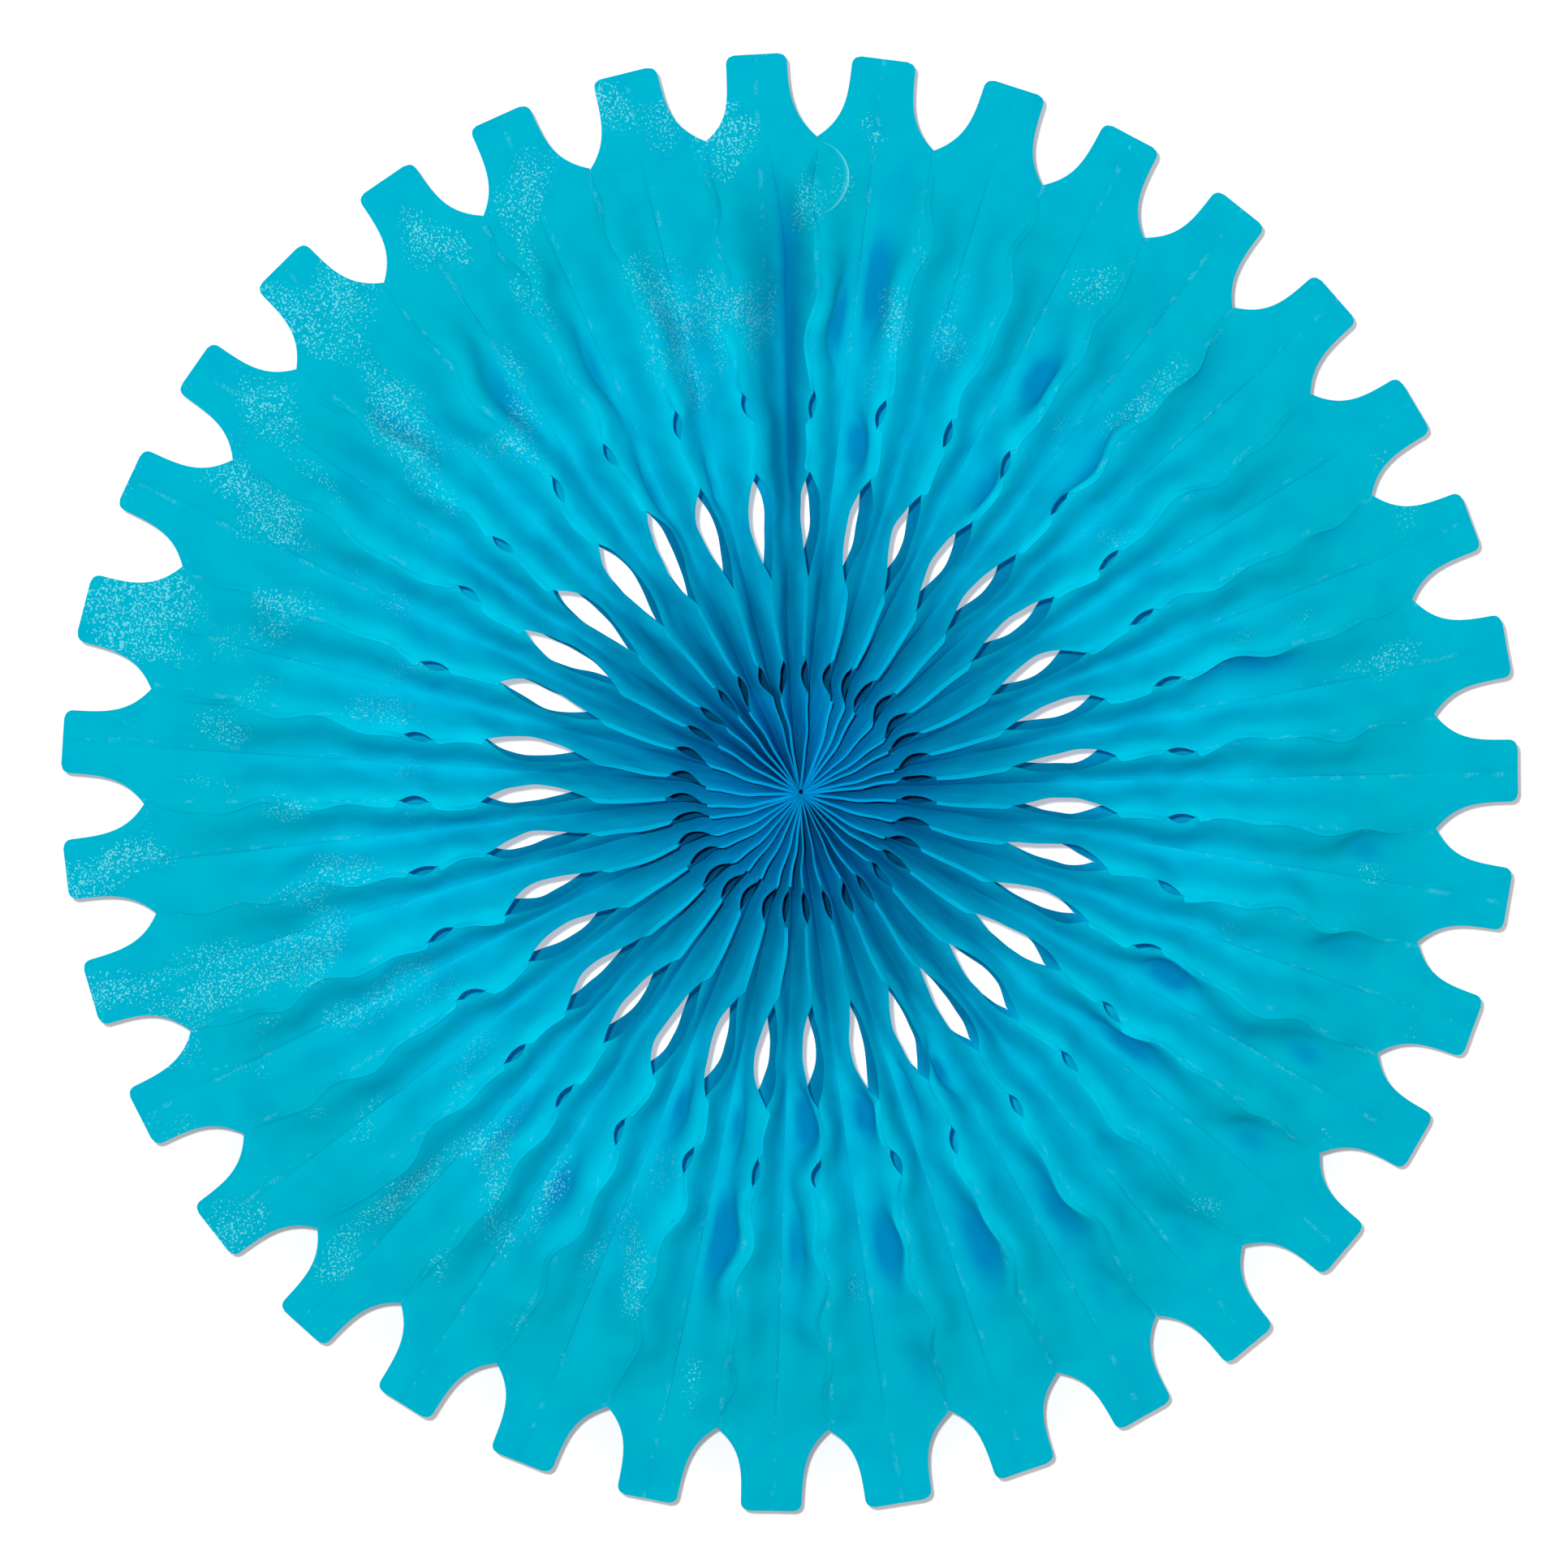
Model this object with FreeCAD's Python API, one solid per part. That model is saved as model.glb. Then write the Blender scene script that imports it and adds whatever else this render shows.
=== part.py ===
import FreeCAD, Part
import math
import os
from dataclasses import dataclass

# A round tissue paper fan that hangs flat against a wall. Its axis lies along Y, its front faces -Y
# and +Z is up. The origin is the centre of the fan. All sizes are in millimetres and degrees.

# The opened fan
cell_count = 35
fan_radius = 317.5
tooth_length = 36.5
hub_hole_radius = 0.4

# The tissue leaves, drawn thicker than the real paper
leaf_thickness = 0.25
glue_strip_width = 2.4
hub_opening_half_width = 0.2
hub_bend_radius = 20.0
bend_count = 4

# The scalloped rim: a tooth at each glued valley, with a pointed notch between two teeth
tooth_tip_width = 27.6
tooth_corner_radius = 4.0
tooth_flank_power = 4.0
tooth_flank_steps = 3
tooth_flank_crowding = 1.5
tooth_corner_steps = 1
largest_corner_share = 0.9

# The closing tab, on the front of the first cell beside its ridge
tab_width = 15.5
tab_length = 31.0
tab_below_notch = 2.0
tab_beside_ridge = 0.25
tab_steps = 6

# Corners closer than this lie in the same place
same_place = 1e-6

half_pitch = math.radians(180.0 / cell_count)
slope = math.tan(half_pitch)
notch_radius = fan_radius - tooth_length

# A leaf reaches from its glued centre line to the ridge plane, and lies flat where the notch begins
panel_width = notch_radius * slope


@dataclass(frozen=True)
class CutRing:
    """One die-cut in the outer edges of every leaf, half of it in each of the two leaves of a ridge."""

    radius: float
    length: float
    depth: float
    steps: int


cut_rings = (
    CutRing(radius=50.0, length=14.0, depth=11.0, steps=2),
    CutRing(radius=114.0, length=47.0, depth=12.4, steps=4),
    CutRing(radius=166.0, length=14.0, depth=4.2, steps=2),
)


def point(across, forward, out):
    """A point of the first cell, whose ridge plane stands upright over the centre."""
    return FreeCAD.Vector(across, -forward, out)


def strip_height(radius):
    """Height of a glued valley over the middle plane: its strip lies down flat towards the teeth."""
    share = min(radius / notch_radius, 1.0)
    return glue_strip_width / 2.0 * (1.0 - share) + leaf_thickness * share


def ridge_height(radius):
    """Height of the ridge over the middle plane: the rise of a panel that spans half the pitch."""
    run = min(radius * slope, panel_width)
    return strip_height(radius) + math.sqrt(panel_width ** 2 - run ** 2)


def six_sided(radius, side, corner, ridge):
    """A cell's six-sided section at one radius, from its strip, corner and ridge distances."""
    return [
        point(side, -corner, radius),
        point(side, corner, radius),
        point(0.0, ridge, radius),
        point(-side, corner, radius),
        point(-side, -corner, radius),
        point(0.0, -ridge, radius),
    ]


def outer_section(radius):
    return six_sided(radius, radius * slope, strip_height(radius), ridge_height(radius))


def inner_section(radius):
    """The hollow's section, one leaf thickness inside the outer one. It is a line at the notch."""
    run = radius * slope
    lean = math.asin(min(run / panel_width, 1.0))
    corner = strip_height(radius) - leaf_thickness * math.tan(lean / 2.0)
    ridge = ridge_height(radius) - leaf_thickness / math.sin(lean)
    return six_sided(radius, run - leaf_thickness, corner, ridge)


def flat_face(corners):
    """A flat face on a ring of corners, where corners in the same place count once."""
    ring = [here for index, here in enumerate(corners) if not here.isEqual(corners[index - 1], same_place)]
    return Part.Face(Part.makePolygon([*ring, ring[0]]))


def fold_faces(near_ridge, near_valley, far_valley, far_ridge):
    """One flat face where the four corners lie in a plane, or else two, bent along a diagonal."""
    normal = (near_valley - near_ridge).cross(far_valley - near_ridge)
    if abs(normal.dot(far_ridge - near_ridge)) < same_place * normal.Length:
        return [flat_face([near_ridge, near_valley, far_valley, far_ridge])]
    return [
        flat_face([near_ridge, near_valley, far_valley]),
        flat_face([near_ridge, far_valley, far_ridge]),
    ]


def hexagonal_solid(sections):
    """A closed solid through the six-sided sections. An end section that is a line needs no face."""
    front_ridge, back_ridge = 2, 5
    faces = []
    for near, far in zip(sections, sections[1:]):
        for start in range(6):
            end = (start + 1) % 6
            ridge, valley = (end, start) if end in (front_ridge, back_ridge) else (start, end)
            faces += fold_faces(near[ridge], near[valley], far[valley], far[ridge])
    for ring in (sections[0], sections[-1]):
        if not ring[front_ridge].isEqual(ring[back_ridge], same_place):
            faces.append(flat_face(ring))
    shell = Part.Shell(faces)
    solid = Part.Solid(shell)
    return solid if solid.Volume > 0 else Part.Solid(shell.reversed())


def upright_prism(outline):
    """A prism along the fan's axis, through front and back, from (across, out) pairs."""
    reach = 2.0 * (panel_width + glue_strip_width)
    face = flat_face([point(across, -reach / 2.0, out) for across, out in outline])
    return face.extrude(point(0.0, reach, 0.0))


def mirrored(right_side):
    """A closed outline from its right half, which starts and ends on the ridge plane or beside it."""
    return right_side + [(-across, out) for across, out in reversed(right_side) if across > same_place]


def ring_cutter(ring):
    """Seen along the axis, a cut narrows towards the hub, because the panels stand steeper there."""
    right_side = []
    for step in range(ring.steps + 1):
        share = 2.0 * step / ring.steps - 1.0
        out = ring.radius + share * ring.length / 2.0
        across = ring.depth * (1.0 - share ** 2) * out * slope / panel_width
        right_side.append((across, out))
    return upright_prism(mirrored(right_side))


def from_tooth(beside, along):
    """An (across, out) pair from a distance beside and a distance along a tooth's centre line."""
    across = along * math.sin(half_pitch) - beside * math.cos(half_pitch)
    out = along * math.cos(half_pitch) + beside * math.sin(half_pitch)
    return across, out


def rim_cutter():
    """The notch of one cell, with the flanks and rounded corners of the two half teeth beside it."""
    tip_half = tooth_tip_width / 2.0
    corner = min(tooth_corner_radius, largest_corner_share * min(tip_half, tooth_length))
    flank_end = fan_radius - corner
    flare = panel_width / math.cos(half_pitch) - tip_half
    right_side = [(0.0, notch_radius)]
    for step in range(1, tooth_flank_steps + 1):
        share = (step / tooth_flank_steps) ** tooth_flank_crowding
        along = notch_radius + share * (flank_end - notch_radius)
        beside = tip_half + flare * (1.0 - share) ** tooth_flank_power
        right_side.append(from_tooth(beside, along))
    for step in range(1, tooth_corner_steps + 1):
        turn = math.radians(90.0 * step / tooth_corner_steps)
        beside = tip_half - corner * (1.0 - math.cos(turn))
        right_side.append(from_tooth(beside, flank_end + corner * math.sin(turn)))
    right_side.append(from_tooth(0.0, fan_radius))
    right_side.append(from_tooth(0.0, fan_radius + tooth_length))
    return upright_prism(mirrored(right_side))


def bend_radii():
    """Radii of the sections: the ridge is a quarter of an ellipse, divided evenly in angle."""
    turns = [math.radians(90.0 * step / bend_count) for step in range(1, bend_count + 1)]
    return [notch_radius * math.sin(turn) for turn in turns]


def whole_cell():
    """The closed outer form of the first cell, before it is hollowed and cut."""
    radii = [hub_hole_radius] + bend_radii() + [fan_radius + tooth_length / 2.0]
    return hexagonal_solid([outer_section(radius) for radius in radii])


def hollow():
    """The space between the two leaves, from where they part near the hub to the notch."""
    parting_radius = (leaf_thickness + hub_opening_half_width) / slope
    radii = [parting_radius, hub_bend_radius] + bend_radii()
    return hexagonal_solid([inner_section(radius) for radius in radii])


def cell():
    """Two tissue leaves glued along both outer edges, with their cuts and their toothed rim."""
    return whole_cell().cut(hollow()).cut([ring_cutter(ring) for ring in cut_rings] + [rim_cutter()])


def closing_tab():
    """A rounded paper tab that lies on the front panel of the first cell, against its ridge."""
    half_length = tab_length / 2.0
    centre = notch_radius - tab_below_notch - half_length
    outline = []
    for step in range(tab_steps + 1):
        turn = math.pi * step / tab_steps
        outline.append((tab_beside_ridge + tab_width * math.sin(turn), centre - half_length * math.cos(turn)))
    lifted = whole_cell()
    lifted.translate(point(0.0, leaf_thickness, 0.0))
    layer = lifted.cut(whole_cell())
    return layer.common(upright_prism(outline))


def turned(shape, step):
    """A copy turned clockwise, as the front is seen, by a number of cells."""
    matrix = FreeCAD.Matrix()
    matrix.rotateY(2.0 * half_pitch * step)
    return shape.transformed(matrix, True)


def export(shape, name):
    solids = shape.Solids
    print(name, "solids", len(solids), "valid", shape.isValid(), "volume", round(shape.Volume, 2))
    piece = solids[0] if len(solids) == 1 else Part.makeCompound(solids)
    piece.exportStep(f"parts/{name}.step")


os.makedirs("parts", exist_ok=True)
first_cell = cell()
for index in range(cell_count):
    export(turned(first_cell, index), f"cell_{index + 1:02d}")
export(closing_tab(), "closing_tab")
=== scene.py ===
import logging
import math
from dataclasses import dataclass, field
from enum import Enum, IntEnum
from typing import Any, Mapping, Union

import bpy
import numpy as np
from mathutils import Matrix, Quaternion, Vector


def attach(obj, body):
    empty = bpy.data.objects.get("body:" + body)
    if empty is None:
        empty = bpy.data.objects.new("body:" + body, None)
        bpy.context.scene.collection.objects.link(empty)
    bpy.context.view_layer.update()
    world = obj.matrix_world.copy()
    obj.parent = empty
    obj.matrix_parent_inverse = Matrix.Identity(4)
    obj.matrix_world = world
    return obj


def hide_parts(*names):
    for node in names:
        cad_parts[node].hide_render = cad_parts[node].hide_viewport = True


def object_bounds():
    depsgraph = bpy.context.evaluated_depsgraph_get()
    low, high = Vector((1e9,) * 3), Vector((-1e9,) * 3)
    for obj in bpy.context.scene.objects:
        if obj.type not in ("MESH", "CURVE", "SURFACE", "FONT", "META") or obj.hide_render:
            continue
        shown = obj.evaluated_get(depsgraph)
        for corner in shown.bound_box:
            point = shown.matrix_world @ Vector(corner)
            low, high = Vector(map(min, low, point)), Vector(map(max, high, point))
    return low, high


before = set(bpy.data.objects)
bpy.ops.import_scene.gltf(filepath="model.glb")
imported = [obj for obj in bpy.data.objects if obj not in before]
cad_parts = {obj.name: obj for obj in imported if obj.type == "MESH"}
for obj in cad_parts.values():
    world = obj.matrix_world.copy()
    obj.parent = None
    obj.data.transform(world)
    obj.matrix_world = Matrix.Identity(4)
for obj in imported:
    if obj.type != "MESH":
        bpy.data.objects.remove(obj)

# The fan's axis lies along Y and its front faces -Y. Lengths are in metres, angles in radians
# unless a name says degrees, and angles around the fan run clockwise from its top.
MM = 0.001
Array = np.ndarray
SAME_PLACE = 1e-9
CAD_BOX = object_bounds()
LOG = logging.getLogger("paper_fan")


class Face(Enum):
    """The side of the fan that a panel shows on; its value is the sign of its rise along -Y."""

    FRONT = 1.0
    BACK = -1.0


class Leaf(Enum):
    """The leaf of a cell that a panel belongs to; its value is the sign of its clockwise side."""

    LEADING = -1.0
    TRAILING = 1.0


@dataclass(frozen=True)
class Panel:
    """One of the four panels of a cell; cell 0 is at the top."""

    cell: int
    leaf: Leaf
    face: Face

    @property
    def valley(self) -> int:
        """Return the number of the valley at its foot; valley 0 lies before cell 0."""
        return self.cell if self.leaf is Leaf.LEADING else self.cell + 1


class Seed(IntEnum):
    """Where the seeds of each kind of random unevenness start."""

    RIDGE_PLACE = 1000
    VALLEY = 2000
    VALLEY_WOBBLE = 2100
    CUT_PLACE = 3000
    RIDGE_HEIGHT = 4000
    PANEL = 5000
    RIDGE_WAVES = 8000
    RIDGE_STEP = 8500
    FIN = 9000


@dataclass(frozen=True)
class Rise:
    """A rise from 0 to 1 with soft ends, or a fall where its end is the lower value."""

    start: float
    end: float

    def at(self, value: Array) -> Array:
        """Return the height of the rise at each value."""
        share = np.clip((value - self.start) / (self.end - self.start), 0.0, 1.0)
        return share * share * (3.0 - 2.0 * share)


def rise_mm(start: float, end: float) -> Rise:
    """Return a rise between two lengths that are given in millimetres."""
    return Rise(start * MM, end * MM)


@dataclass(frozen=True)
class Wander:
    """A slow, seeded wandering along a radius, from a few sine waves."""

    amplitude: float
    wavelengths: tuple[float, ...]
    least_weight: float = 0.5

    def at(self, seed: int, radius: Array) -> Array:
        """Return the offset at each radius, from waves whose phases and weights follow a seed."""
        rng = np.random.default_rng(seed)
        total = np.zeros_like(radius)
        for wavelength in self.wavelengths:
            phase, weight = rng.uniform(0.0, 2.0 * math.pi), rng.uniform(self.least_weight, 1.0)
            total = total + weight * np.sin(2.0 * math.pi * radius / wavelength + phase)
        return self.amplitude * total / len(self.wavelengths)


def wander_mm(amplitude: float, *wavelengths: float) -> Wander:
    """Return a wandering whose amplitude and wavelengths are given in millimetres."""
    return Wander(amplitude * MM, tuple(wavelength * MM for wavelength in wavelengths))


@dataclass(frozen=True)
class CutRing:
    """One die-cut in the outer edges of every leaf; the paper closes over a part of it at the back."""

    radius: float
    length: float
    depth: float
    roundness: float
    skew: float = 0.0
    back_share: float = 1.0

    def depth_at(self, radius: Array, shift: float, face: Face) -> Array:
        """Return the depth at each radius, for a leaf whose cut lies further out by the shift."""
        share = (radius - self.radius - shift) / (self.length / 2.0)
        share = share - self.skew * (1.0 - share * share)
        depth = self.depth * (1.0 if face is Face.FRONT else self.back_share)
        return depth * np.clip(1.0 - share * share, 0.0, None) ** self.roundness


@dataclass(frozen=True)
class Dimple:
    """A soft buckle in one panel, where the twisted paper gives way."""

    degrees: float
    radius: float
    depth: float
    spread: float


# The soft buckles of the front: degrees around the fan, then radius, depth and spread in millimetres
DIMPLES = (
    (333.5, 143.0, 7.2, 13.0), (344.0, 138.0, 6.3, 10.0), (333.7, 202.0, 8.1, 17.0),
    (6.9, 151.0, 8.1, 14.0), (4.1, 204.0, 8.1, 18.0), (6.5, 222.0, 9.9, 24.0),
    (8.2, 266.0, 5.4, 13.0), (28.2, 205.0, 9.0, 15.0), (28.7, 153.0, 7.2, 11.0),
    (39.8, 187.0, 6.3, 24.0), (42.5, 258.0, 5.4, 20.0), (62.9, 262.0, 5.4, 14.0),
    (73.8, 204.0, 6.3, 26.0), (94.7, 252.0, 7.2, 10.0), (104.9, 252.0, 6.3, 16.0),
    (116.0, 183.0, 9.0, 13.0), (116.0, 254.0, 8.1, 11.0), (126.3, 254.0, 7.2, 12.0),
    (126.5, 184.0, 7.2, 22.0), (137.0, 262.0, 5.4, 13.0), (146.8, 216.0, 6.3, 26.0),
    (147.1, 262.0, 5.4, 12.0), (150.3, 138.0, 7.2, 10.0), (157.0, 214.0, 8.1, 24.0),
    (159.5, 142.0, 7.2, 13.0), (166.1, 262.0, 6.3, 12.0), (167.4, 203.0, 9.0, 18.0),
    (167.6, 145.0, 8.1, 12.0), (178.2, 145.0, 9.0, 14.0), (179.0, 200.0, 6.3, 20.0),
    (188.3, 198.0, 9.9, 22.0), (189.6, 149.0, 8.1, 14.0), (199.4, 147.0, 7.2, 14.0),
    (209.9, 201.0, 7.2, 14.0), (219.5, 186.0, 4.5, 18.0), (322.5, 214.0, 5.4, 20.0),
    (311.0, 236.0, 4.5, 18.0),
)


@dataclass(frozen=True)
class ValleyForm:
    """How uneven the glued valleys are, and how the teeth curl from a share of the notch's radius on."""

    unevenness: float = 0.08
    wobble: Wander = wander_mm(0.9, 120.0, 47.0)
    curl_start: float = 0.9
    curl_mm: tuple[float, float] = (-1.0, 1.4)


@dataclass(frozen=True)
class SeamForm:
    """The valley at the closing seam, which is pulled aside and inwards and has painted shade along its
    groove.
    """

    pull: float = math.radians(2.3)
    pull_starts: Rise = rise_mm(60.0, 135.0)
    pull_ends: Rise = Rise(1.1, 0.8)
    depth: float = 13.0 * MM
    depth_starts: Rise = rise_mm(70.0, 140.0)
    depth_ends: Rise = Rise(1.0, 0.8)
    groove_starts: Rise = rise_mm(112.0, 150.0)
    groove_ends: Rise = rise_mm(272.0, 232.0)
    leading_reach: float = 0.8
    trailing_reach: float = 0.16
    groove_power: float = 0.8


@dataclass(frozen=True)
class RidgeForm:
    """How the glued ridges wave to the side, step aside at the hub and differ in height."""

    unevenness: float = 0.09
    waves: Wander = Wander(0.3, (110.0 * MM, 61.0 * MM, 33.0 * MM))
    least_waves: float = 0.35
    waves_grow: Rise = rise_mm(60.0, 170.0)
    waves_end: Rise = Rise(1.0, 0.86)
    front_step: float = 0.26
    back_step: float = 0.15
    step_ends: Rise = rise_mm(51.0, 44.0)
    height: Wander = wander_mm(1.0, 140.0, 61.0, 37.0)
    free_height: float = 12.0 * MM
    hub_corner: float = 9.0 * MM
    corner_share: float = 0.6
    hub_lift_mm: tuple[float, float] = (-1.6, 0.9)
    hub_lift_ends: Rise = rise_mm(52.0, 40.0)


@dataclass(frozen=True)
class PanelForm:
    """How the paper between a valley and a ridge bows, ripples, eases into its folds and buckles."""

    bow_starts: Rise = rise_mm(20.0, 110.0)
    bow_ends: Rise = Rise(1.08, 0.97)
    bow: Wander = wander_mm(1.5, 120.0, 67.0, 43.0)
    bow_slant: float = 8.0 * MM
    ripple: Wander = wander_mm(0.45, 29.0, 19.0, 13.0)
    ripple_slant: float = 9.0 * MM
    fullness: float = 0.5 * MM
    easing: float = 0.6
    easing_starts: Rise = rise_mm(60.0, 150.0)
    crease_depth: float = 0.3 * MM
    crease_width: float = 1.3 * MM
    crease_starts: Rise = Rise(0.45, 0.8)
    dent_room: float = 0.6
    dent_width: float = 0.3
    dent_valley_end: Rise = Rise(0.0, 0.25)
    dent_ridge_end: Rise = Rise(1.0, 0.7)


@dataclass(frozen=True)
class ShadedRing:
    """A ring of the back panels that is seen through the cuts of the front, with painted shade."""

    strength: float
    starts: Rise
    ends: Rise
    across: Rise


@dataclass(frozen=True)
class ShadeForm:
    """Where shade is painted into the paper's colour: in the buckles, and behind the cuts."""

    darkest_dent: float = 6.5 * MM
    least_dent: float = 0.4
    dents_fade: Rise = Rise(0.98, 0.8)
    rings: tuple[ShadedRing, ...] = (
        ShadedRing(1.4, rise_mm(30.0, 36.0), rise_mm(66.0, 60.0), Rise(0.85, 0.6)),
        ShadedRing(0.62, rise_mm(84.0, 92.0), rise_mm(146.0, 138.0), Rise(0.15, 0.4)),
    )


@dataclass(frozen=True)
class SwayForm:
    """How the steep pleats near the hub hang down to the sides and ripple."""

    sideways: float = 2.6 * MM
    upright: float = 0.8 * MM
    unevenness: float = 0.6
    uneven_waves: float = 3.0
    uneven_phase: float = 1.0
    outer_share: float = 0.3
    outer_ends: Rise = rise_mm(105.0, 62.0)
    inner_ends: Rise = rise_mm(47.0, 38.0)
    ripple: float = 0.5 * MM
    ripple_length: float = 24.0 * MM
    ripple_twist: float = 2.0
    ripple_phase: float = 0.6
    ripple_starts: Rise = rise_mm(14.0, 30.0)
    ripple_ends: Rise = rise_mm(75.0, 45.0)
    full_radius: float = 22.0 * MM
    least_radius: float = 1e-6


@dataclass(frozen=True)
class FinForm:
    """The glued strip that stands on a ridge and flops to one side, in radians."""

    width: float = 2.8 * MM
    least_width: float = 0.12 * MM
    width_ends: Rise = Rise(1.0, 0.93)
    hub_width: float = 0.5
    widens: Rise = rise_mm(45.0, 75.0)
    chance: float = 0.5
    flop: Wander = Wander(0.6, (80.0 * MM, 43.0 * MM, 24.0 * MM))
    flop_starts: Rise = rise_mm(50.0, 140.0)
    hub_lean: float = 0.8
    more_lean: float = 0.5
    leans_more: Rise = Rise(0.25, 0.7)
    root_lean: float = 0.5


@dataclass(frozen=True)
class MeshSteps:
    """The spacing of the mesh columns along a radius."""

    near_end: float = 60.0 * MM
    near: float = 2.0 * MM
    far: float = 3.0 * MM
    past_cut: float = 1.04
    in_cut: float = 1.3 * MM
    least_in_cut: int = 12
    on_flank: int = 15
    flank_crowding: float = 1.6
    on_corner: int = 6
    least: float = 0.45 * MM


@dataclass
class FanPlan:
    """The sizes of the opened fan and the shape of every panel in it."""

    cell_count: int
    fan_radius: float
    half_depth: float
    tooth_length: float = 36.5 * MM
    tooth_tip_half: float = 13.8 * MM
    tooth_corner: float = 3.8 * MM
    tooth_flank_power: float = 4.0
    hub_radius: float = 1.0 * MM
    strip: float = 1.2 * MM
    layer_gap: float = 0.12 * MM
    arch_power: float = 0.4
    arch_ends: Rise = Rise(1.0, 0.8)
    tooth_closes: Rise = Rise(0.9, 1.0)
    cut_shift_mm: float = 0.5
    cuts: tuple[CutRing, ...] = (
        CutRing(50.0 * MM, 16.5 * MM, 11.0 * MM, 1.0, back_share=0.15),
        CutRing(114.0 * MM, 51.0 * MM, 13.6 * MM, 1.0, skew=0.14, back_share=0.86),
        CutRing(166.0 * MM, 17.0 * MM, 5.8 * MM, 1.0, back_share=0.3),
    )
    dimples: tuple[Dimple, ...] = tuple(
        Dimple(degrees, radius * MM, depth * MM, spread * MM)
        for degrees, radius, depth, spread in DIMPLES
    )
    petals: tuple[tuple[int, float], ...] = ((33, 0.25), (34, -0.32), (0, 0.1), (1, 0.34), (2, 0.1))
    valley: ValleyForm = ValleyForm()
    seam: SeamForm = SeamForm()
    ridge: RidgeForm = RidgeForm()
    sheet: PanelForm = PanelForm()
    shading: ShadeForm = ShadeForm()
    sway: SwayForm = SwayForm()
    fin: FinForm = FinForm()
    steps: MeshSteps = MeshSteps()
    panel_width: float = field(init=False)
    notch_radius: float = field(init=False)
    half_pitch: float = field(init=False)

    def __post_init__(self) -> None:
        """Work out the sizes that follow from the others."""
        self.half_pitch = math.pi / self.cell_count
        self.notch_radius = self.fan_radius - self.tooth_length
        self.panel_width = self.notch_radius * math.tan(self.half_pitch)

    def ridge_angle(self, cell: int) -> float:
        """Angle of a cell's ridge, a little uneven from cell to cell; cell 0 is at the top."""
        rng = np.random.default_rng(Seed.RIDGE_PLACE + cell)
        uneven = rng.uniform(-self.ridge.unevenness, self.ridge.unevenness)
        return self.half_pitch * (2.0 * cell + uneven)

    def arch(self, radius: Array) -> Array:
        """Height to which a flat leaf of the unfolded width rises at each radius, up to the notch."""
        run = np.minimum(radius * math.tan(self.half_pitch), self.panel_width)
        flattened = self.arch_ends.at(radius / self.notch_radius) ** self.arch_power
        return np.sqrt(self.panel_width ** 2 - run ** 2) * flattened

    def valley_line(self, valley: int, radius: Array) -> tuple[Array, Array]:
        """The line along which two cells are glued.

        Args:
            valley: The valley's number: valley 0 lies between the last cell and cell 0.
            radius: Radii, in metres.

        Returns:
            The angle around the fan and the height over the middle plane at each radius.
        """
        number = valley % self.cell_count
        form, seam = self.valley, self.seam
        rng = np.random.default_rng(Seed.VALLEY + number)
        uneven = rng.uniform(-form.unevenness, form.unevenness)
        angle = self.half_pitch * (2.0 * valley - 1.0 + uneven) + 0.0 * radius
        wobble = form.wobble.at(Seed.VALLEY_WOBBLE + number, radius)
        height = wobble * np.clip(radius / self.fan_radius, 0.0, 1.0)
        past = np.clip((radius - form.curl_start * self.notch_radius) / self.tooth_length, 0.0, None)
        height = height + rng.uniform(*form.curl_mm) * MM * past * past
        if number == 0:
            share = radius / self.notch_radius
            angle = angle + seam.pull * seam.pull_starts.at(radius) * seam.pull_ends.at(share)
            height = height - seam.depth * seam.depth_starts.at(radius) * seam.depth_ends.at(share)
        return angle, height

    def ridge_line(self, cell: int, face: Face, radius: Array) -> tuple[Array, Array]:
        """The line along which the two leaves of a cell are glued.

        Args:
            cell: The cell's number.
            face: The side of the fan.
            radius: Radii, in metres.

        Returns:
            The angle around the fan and the height over the middle plane at each radius.
        """
        code = 2 * cell + (face is Face.BACK)
        form = self.ridge
        run = np.minimum(radius * math.sin(self.half_pitch), self.panel_width)
        steep = form.waves_end.at(radius / self.notch_radius)
        waves = form.waves.at(Seed.RIDGE_WAVES + code, radius)
        waves = waves * (form.least_waves + (1.0 - form.least_waves) * form.waves_grow.at(radius))
        rng = np.random.default_rng(Seed.RIDGE_STEP + code)
        if face is Face.FRONT:
            step = dict(self.petals).get(cell, rng.uniform(-form.front_step, form.front_step))
        else:
            step = rng.uniform(-form.back_step, form.back_step)
        inner = 2.0 * step * form.step_ends.at(radius)
        angle = self.ridge_angle(cell) + run * (waves * steep + inner) / radius
        arch = self.arch(radius)
        uneven = form.height.at(Seed.RIDGE_HEIGHT + code, radius)
        corner = np.clip(form.hub_corner - radius, 0.0, None)
        drop = form.hub_corner - np.sqrt(np.clip(form.hub_corner ** 2 - corner ** 2, 0.0, None))
        height = arch + uneven * np.clip(arch / form.free_height, 0.0, 1.0) - form.corner_share * drop
        return angle, height + rng.uniform(*form.hub_lift_mm) * MM * form.hub_lift_ends.at(radius)

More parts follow.
